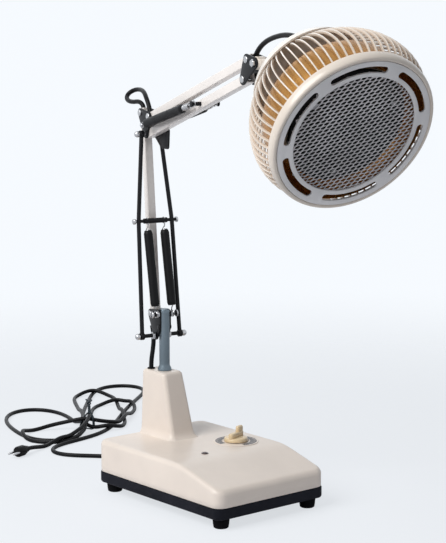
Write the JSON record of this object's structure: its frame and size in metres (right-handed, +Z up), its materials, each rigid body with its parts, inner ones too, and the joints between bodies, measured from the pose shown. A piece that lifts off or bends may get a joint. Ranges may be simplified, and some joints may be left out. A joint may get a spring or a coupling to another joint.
{
  "type": "infrared heat therapy lamp",
  "caption": "Table-top infrared heat lamp: weighted base with timer, sprung double arm and a round caged head with a mesh front.",
  "frame": {"origin": "on the table, under the middle of the whole lamp without its cord", "axes": "+Z up; the front of the base faces -Y"},
  "size_m": [0.6063, 1.215, 0.7059],
  "materials": {
    "black_tray": "satin",
    "rubber": "matte",
    "cream_plastic": "satin",
    "steel": "satin",
    "stem_steel": "satin",
    "iron": "rough",
    "dial": "satin",
    "lens": "gloss",
    "timer_case": "matte",
    "knob": "satin",
    "white_block": "matte",
    "black_paint": "semi gloss",
    "chrome": "polished",
    "white_paint": "gloss",
    "sleeve": "satin",
    "head_enamel": "gloss",
    "grey_enamel": "satin",
    "mesh": "satin",
    "gold": "polished",
    "emitter": "matte",
    "ceramic": "matte",
    "copper": "dull",
    "cord_black": "satin"
  },
  "bodies": {
    "base": {"bottom_tray": "black_tray", "rubber_feet": "rubber", "base_housing": "cream_plastic", "base_screws": "steel", "ballast_plate": "iron", "dial_plate": "dial", "pilot_lamp": "lens", "timer_body": "timer_case", "terminal_block": "white_block", "swivel_socket": "steel", "socket_screws": "steel", "cable_grommet": "cord_black", "cord_gland": "cord_black", "mains_cord": "cord_black", "cord_hank": "cord_black", "plug_body": "cord_black", "plug_pins": "chrome"},
    "knob": {"timer_shaft": "steel", "timer_knob": "knob"},
    "stem_group": {"stem": "stem_steel", "lever_plates": "black_paint", "stem_rivet": "black_paint", "tube_pivot_pin": "chrome", "rod_axle": "black_paint", "axle_nuts": "chrome", "spring_bar": "black_paint", "spring_bar_nuts": "chrome", "pedestal_cable": "cord_black"},
    "rods": {"side_rods": "black_paint", "cross_bar": "black_paint", "cross_bar_nuts": "chrome"},
    "tube": {"lower_tube": "white_paint"},
    "lower_spring_pair": {"lower_springs": "chrome", "lower_spring_sleeves": "sleeve"},
    "elbow": {"elbow_plate_near": "black_paint", "elbow_plate_far": "black_paint", "elbow_pins": "steel", "elbow_nuts": "chrome", "elbow_cable": "cord_black"},
    "lower_bar_group": {"lower_bar": "white_paint", "spring_pin": "black_paint"},
    "top_bar_group": {"top_bar": "white_paint"},
    "upper_spring_pair": {"upper_springs": "chrome", "upper_spring_sleeves": "sleeve"},
    "wrist": {"head_brackets": "black_paint", "bracket_pins": "chrome", "tilt_bolt": "chrome", "head_cable": "cord_black"},
    "head": {"head_neck": "head_enamel", "dome_cap": "head_enamel", "cage_ribs": "head_enamel", "cage_rim": "head_enamel", "front_ring": "grey_enamel", "mesh_grille": "mesh", "reflector": "gold", "emitter_plate": "emitter", "heater_coil": "copper", "insulation_disc": "ceramic", "emitter_studs": "steel", "head_terminal": "white_block"}
  },
  "joints": [
    {"name": "timer_turn", "type": "hinge", "parent": "base", "child": "knob", "pos_m": [0.1133, 0.1257, 0.0805], "axis": [0, 0, -1], "range_deg": [0, 300]},
    {"name": "arm_swivel", "type": "hinge", "parent": "base", "child": "stem_group", "pos_m": [0.0633, 0.2357, 0.179], "axis": [0, 0, 1], "range_deg": [-90, 90], "deforming": ["pedestal_cable"]},
    {"name": "lower_arm_tilt", "type": "hinge", "parent": "stem_group", "child": "tube", "pos_m": [0.06975, 0.26602, 0.263], "axis": [0.9781, -0.2079, 0], "range_deg": [-5.5, 42], "deforming": ["lower_springs", "pedestal_cable"]},
    {"name": "rod_tilt", "type": "hinge", "parent": "stem_group", "child": "rods", "pos_m": [0.0658, 0.24744, 0.232], "axis": [0.9781, -0.2079, 0], "range_deg": [-5.5, 42]},
    {"name": "lower_spring_swing", "type": "hinge", "parent": "stem_group", "child": "lower_spring_pair", "pos_m": [0.0633, 0.2357, 0.266], "axis": [0.9781, -0.2079, 0], "range_deg": [-7.32, 52.58], "deforming": ["lower_springs"]},
    {"name": "elbow_level", "type": "hinge", "parent": "tube", "child": "elbow", "pos_m": [0.07631, 0.29689, 0.56837], "axis": [0.9781, -0.2079, 0], "range_deg": [-42, 5.5], "deforming": ["elbow_cable"]},
    {"name": "upper_arm_tilt", "type": "hinge", "parent": "elbow", "child": "lower_bar_group", "pos_m": [0.07236, 0.27831, 0.53737], "axis": [0.9781, -0.2079, 0], "range_deg": [-20, 58], "deforming": ["upper_springs", "elbow_cable"]},
    {"name": "top_bar_tilt", "type": "hinge", "parent": "elbow", "child": "top_bar_group", "pos_m": [0.07028, 0.26852, 0.56437], "axis": [0.9781, -0.2079, 0], "range_deg": [-20, 58], "deforming": ["elbow_cable"]},
    {"name": "upper_spring_swing", "type": "hinge", "parent": "elbow", "child": "upper_spring_pair", "pos_m": [0.07111, 0.27244, 0.55137], "axis": [0.9781, -0.2079, 0], "range_deg": [-21.1, 60.24], "deforming": ["upper_springs"]},
    {"name": "wrist_level", "type": "hinge", "parent": "lower_bar_group", "child": "wrist", "pos_m": [0.00813, -0.02383, 0.63181], "axis": [0.9781, -0.2079, 0], "range_deg": [-58, 20], "deforming": ["head_cable"]},
    {"name": "head_tilt", "type": "hinge", "parent": "wrist", "child": "head", "pos_m": [0.00148, -0.05513, 0.65481], "axis": [0.9781, -0.2079, 0], "range_deg": [-40, 45], "deforming": ["head_cable"]}
  ],
  "couplings": [
    {"joint": "rod_tilt", "follows": "lower_arm_tilt", "ratio": 1},
    {"joint": "elbow_level", "follows": "lower_arm_tilt", "ratio": -1},
    {"joint": "lower_spring_swing", "follows": "lower_arm_tilt", "ratio": 1.24},
    {"joint": "top_bar_tilt", "follows": "upper_arm_tilt", "ratio": 1},
    {"joint": "wrist_level", "follows": "upper_arm_tilt", "ratio": -1},
    {"joint": "upper_spring_swing", "follows": "upper_arm_tilt", "ratio": 1.03}
  ]
}
